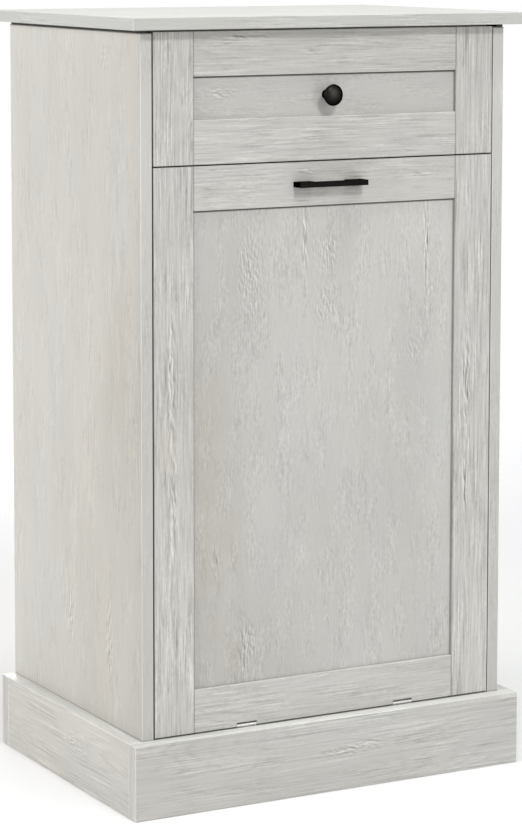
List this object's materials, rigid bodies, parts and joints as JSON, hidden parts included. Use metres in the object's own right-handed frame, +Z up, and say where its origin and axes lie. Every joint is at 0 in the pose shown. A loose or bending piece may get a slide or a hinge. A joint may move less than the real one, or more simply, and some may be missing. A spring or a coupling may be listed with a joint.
{
  "type": "trash can cabinet",
  "caption": "Tall narrow cabinet on a plinth, with a drawer over a tip-out door that carries a bin cradle.",
  "frame": {"origin": "middle of the cabinet's bounding box, on the floor", "axes": "+Z up, -Y towards the front with the drawer and door, +X to the right seen from the front"},
  "size_m": [0.504, 0.368, 0.89],
  "materials": {
    "laminate": "matt whitewashed pale grey wood-grain laminate",
    "inner_board": "matt pale laminate on inner boards",
    "drawer_board": "matt pale laminated board",
    "hardboard": "smooth hardboard",
    "softwood": "sawn",
    "black_metal": "satin black",
    "zinc_steel": "zinc plated",
    "catch_plastic": "matt moulded"
  },
  "bodies": {
    "cabinet": {"top_panel": "laminate", "side_panel_left": "laminate", "side_panel_right": "laminate", "bottom_panel": "inner_board", "divider_panel": "inner_board", "top_rail_front": "inner_board", "top_rail_rear": "inner_board", "back_panel": "hardboard", "plinth_front": "laminate", "plinth_left": "laminate", "plinth_right": "laminate", "plinth_rear": "laminate", "plinth_blocks": "softwood", "hinge_leaves_fixed": "zinc_steel", "hinge_pins": "zinc_steel", "slide_outer_left": "zinc_steel", "slide_outer_right": "zinc_steel", "magnet_catch": "catch_plastic", "stay_pivot_pins": "zinc_steel", "cam_locks": "zinc_steel", "cam_bolts": "zinc_steel", "carcass_screws": "zinc_steel", "small_screws": "zinc_steel"},
    "drawer": {"drawer_panel": "laminate", "drawer_stile_left": "laminate", "drawer_stile_right": "laminate", "drawer_rail_top": "laminate", "drawer_rail_bottom": "laminate", "knob": "black_metal", "knob_screw": "zinc_steel", "drawer_side_left": "drawer_board", "drawer_side_right": "drawer_board", "drawer_box_front": "drawer_board", "drawer_box_back": "drawer_board", "drawer_bottom": "hardboard", "slide_inner_left": "zinc_steel", "slide_inner_right": "zinc_steel", "drawer_screws": "zinc_steel"},
    "slide_left": {"slide_middle_left": "zinc_steel", "ball_cage_left": "zinc_steel"},
    "slide_right": {"slide_middle_right": "zinc_steel", "ball_cage_right": "zinc_steel"},
    "door": {"door_panel": "laminate", "door_stile_left": "laminate", "door_stile_right": "laminate", "door_rail_top": "laminate", "door_rail_bottom": "laminate", "pull_handle": "black_metal", "pull_screws": "zinc_steel", "cradle_side_left": "inner_board", "cradle_side_right": "inner_board", "cradle_floor": "inner_board", "cradle_rear_rail": "inner_board", "hinge_leaves_door": "zinc_steel", "stay_studs": "zinc_steel", "strike_plate": "zinc_steel", "door_cam_fittings": "zinc_steel", "door_screws": "zinc_steel"},
    "stay_left": {"stay_left": "zinc_steel"},
    "stay_right": {"stay_right": "zinc_steel"}
  },
  "joints": [
    {"name": "drawer_slide", "type": "slide", "parent": "cabinet", "child": "drawer", "axis": [0, -1, 0], "range_m": [0, 0.25]},
    {"name": "slide_member_left", "type": "slide", "parent": "cabinet", "child": "slide_left", "axis": [0, -1, 0], "range_m": [0, 0.125]},
    {"name": "slide_member_right", "type": "slide", "parent": "cabinet", "child": "slide_right", "axis": [0, -1, 0], "range_m": [0, 0.125]},
    {"name": "door_tilt", "type": "hinge", "parent": "cabinet", "child": "door", "pos_m": [0, -0.164, 0.0873], "axis": [1, 0, 0], "range_deg": [0, 40]},
    {"name": "stay_turn_left", "type": "hinge", "parent": "cabinet", "child": "stay_left", "pos_m": [-0.2144, 0.11175, 0.13592], "axis": [1, 0, 0], "range_deg": [0, 20]},
    {"name": "stay_turn_right", "type": "hinge", "parent": "cabinet", "child": "stay_right", "pos_m": [0.2144, 0.11175, 0.13592], "axis": [1, 0, 0], "range_deg": [0, 20]}
  ],
  "couplings": [
    {"joint": "slide_member_left", "follows": "drawer_slide", "ratio": 0.5},
    {"joint": "slide_member_right", "follows": "drawer_slide", "ratio": 0.5},
    {"joint": "stay_turn_left", "follows": "door_tilt", "ratio": 0.5},
    {"joint": "stay_turn_right", "follows": "door_tilt", "ratio": 0.5}
  ]
}
